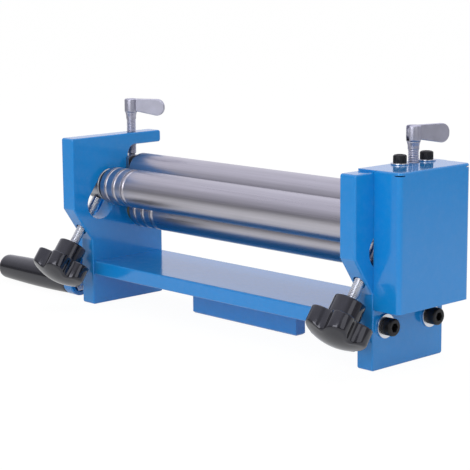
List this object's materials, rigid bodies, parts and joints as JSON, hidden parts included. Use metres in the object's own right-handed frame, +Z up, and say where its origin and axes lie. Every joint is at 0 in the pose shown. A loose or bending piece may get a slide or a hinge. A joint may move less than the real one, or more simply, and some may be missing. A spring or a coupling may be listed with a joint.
{
  "type": "slip roll machine",
  "caption": "Hand-cranked bench slip roll for sheet metal: geared pinch rolls with wing screws, a bending roll on star-knob screws, and a gear cover.",
  "frame": {"origin": "centre of the footprint of the two side plates, mid-way between them, on the plane that they stand on", "axes": "+X along the rolls towards the gear cover, -Y towards the bending roll and the star knobs, +Z up"},
  "size_m": [0.4893, 0.1314, 0.174],
  "materials": {
    "blue_paint": "gloss enamel",
    "ground_steel": "ground and polished lengthwise",
    "block_steel": "machined, lightly oiled",
    "bronze": "bearing bronze",
    "black_screws": "black oxide",
    "bright_zinc": "bright zinc plate",
    "wing_steel": "nickel plate",
    "gear_steel": "hobbed and oiled",
    "black_plastic": "moulded phenolic"
  },
  "bodies": {
    "frame": {"left_side_plate": "blue_paint", "right_side_plate": "blue_paint", "bed_plate": "blue_paint", "vise_bar": "blue_paint", "vise_bar_welds": "blue_paint", "bed_bolts_left": "black_screws", "bed_bolts_right": "black_screws", "bed_washers_left": "bright_zinc", "bed_washers_right": "bright_zinc", "gear_cover": "blue_paint", "cover_bolts": "black_screws", "cover_washers": "bright_zinc", "lower_bush_left": "bronze", "lower_bush_right": "bronze"},
    "drive": {"lower_roller": "ground_steel", "lower_gear": "gear_steel", "lower_gear_key": "gear_steel", "lower_gear_circlip": "gear_steel", "crank_arm": "blue_paint", "crank_key": "gear_steel", "crank_washer": "bright_zinc", "crank_screw": "black_screws", "grip_bolt": "bright_zinc", "grip_nut": "bright_zinc"},
    "crank_grip": {"grip": "black_plastic"},
    "upper_carriage": {"upper_block_left": "block_steel", "upper_block_right": "block_steel", "upper_bush_left": "bronze", "upper_bush_right": "bronze"},
    "upper_roll": {"upper_roller": "ground_steel", "upper_gear": "gear_steel", "upper_gear_key": "gear_steel", "upper_gear_circlip": "gear_steel"},
    "wing_left": {"wing_screw_left": "wing_steel", "wing_pin_left": "wing_steel"},
    "wing_right": {"wing_screw_right": "wing_steel", "wing_pin_right": "wing_steel"},
    "blade_left": {"wing_blade_left": "wing_steel"},
    "blade_right": {"wing_blade_right": "wing_steel"},
    "bending_carriage": {"bending_block_left": "block_steel", "bending_block_right": "block_steel", "bending_bush_left": "bronze", "bending_bush_right": "bronze"},
    "bending_roll": {"bending_roller": "ground_steel"},
    "knob_left": {"knob_screw_left": "bright_zinc", "star_knob_left": "black_plastic"},
    "knob_right": {"knob_screw_right": "bright_zinc", "star_knob_right": "black_plastic"}
  },
  "joints": [
    {"name": "crank_turn", "type": "hinge", "parent": "frame", "child": "drive", "pos_m": [0, 0.0125, 0.079], "axis": [1, 0, 0], "continuous": true},
    {"name": "grip_turn", "type": "hinge", "parent": "drive", "child": "crank_grip", "pos_m": [-0.25, -0.026, 0.01232], "axis": [1, 0, 0], "continuous": true},
    {"name": "upper_lift", "type": "slide", "parent": "frame", "child": "upper_carriage", "axis": [0, 0, 1], "range_m": [0, 0.0025]},
    {"name": "upper_roll_turn", "type": "hinge", "parent": "upper_carriage", "child": "upper_roll", "pos_m": [0, 0.0125, 0.1116], "axis": [1, 0, 0], "continuous": true},
    {"name": "bend_lift", "type": "slide", "parent": "frame", "child": "bending_carriage", "axis": [0, -0.5878, -0.809], "range_m": [0, 0.0185]},
    {"name": "bending_roll_turn", "type": "hinge", "parent": "bending_carriage", "child": "bending_roll", "pos_m": [0, -0.0191, 0.1023], "axis": [1, 0, 0], "continuous": true},
    {"name": "wing_left_turn", "type": "hinge", "parent": "upper_carriage", "child": "wing_left", "pos_m": [-0.16, 0.0125, 0.15], "axis": [0, 0, 1], "range_deg": [0, 720.5]},
    {"name": "blade_left_fold", "type": "hinge", "parent": "wing_left", "child": "blade_left", "pos_m": [-0.16, 0.0125, 0.1685], "axis": [0.4695, -0.8829, 0], "range_deg": [0, 180]},
    {"name": "knob_left_turn", "type": "hinge", "parent": "bending_carriage", "child": "knob_left", "pos_m": [-0.16, -0.0191, 0.1023], "axis": [0, -0.5878, -0.809], "range_deg": [0, 5330]},
    {"name": "wing_right_turn", "type": "hinge", "parent": "upper_carriage", "child": "wing_right", "pos_m": [0.16, 0.0125, 0.15], "axis": [0, 0, 1], "range_deg": [0, 720.5]},
    {"name": "blade_right_fold", "type": "hinge", "parent": "wing_right", "child": "blade_right", "pos_m": [0.16, 0.0125, 0.1685], "axis": [0.9659, -0.2588, 0], "range_deg": [0, 180]},
    {"name": "knob_right_turn", "type": "hinge", "parent": "bending_carriage", "child": "knob_right", "pos_m": [0.16, -0.0191, 0.1023], "axis": [0, -0.5878, -0.809], "range_deg": [0, 5330]}
  ],
  "couplings": [
    {"joint": "upper_roll_turn", "follows": "crank_turn", "ratio": -1},
    {"joint": "wing_left_turn", "follows": "upper_lift", "rad_per_m": 5026.5},
    {"joint": "knob_left_turn", "follows": "bend_lift", "rad_per_m": 5026.5},
    {"joint": "wing_right_turn", "follows": "upper_lift", "rad_per_m": 5026.5},
    {"joint": "knob_right_turn", "follows": "bend_lift", "rad_per_m": 5026.5}
  ]
}
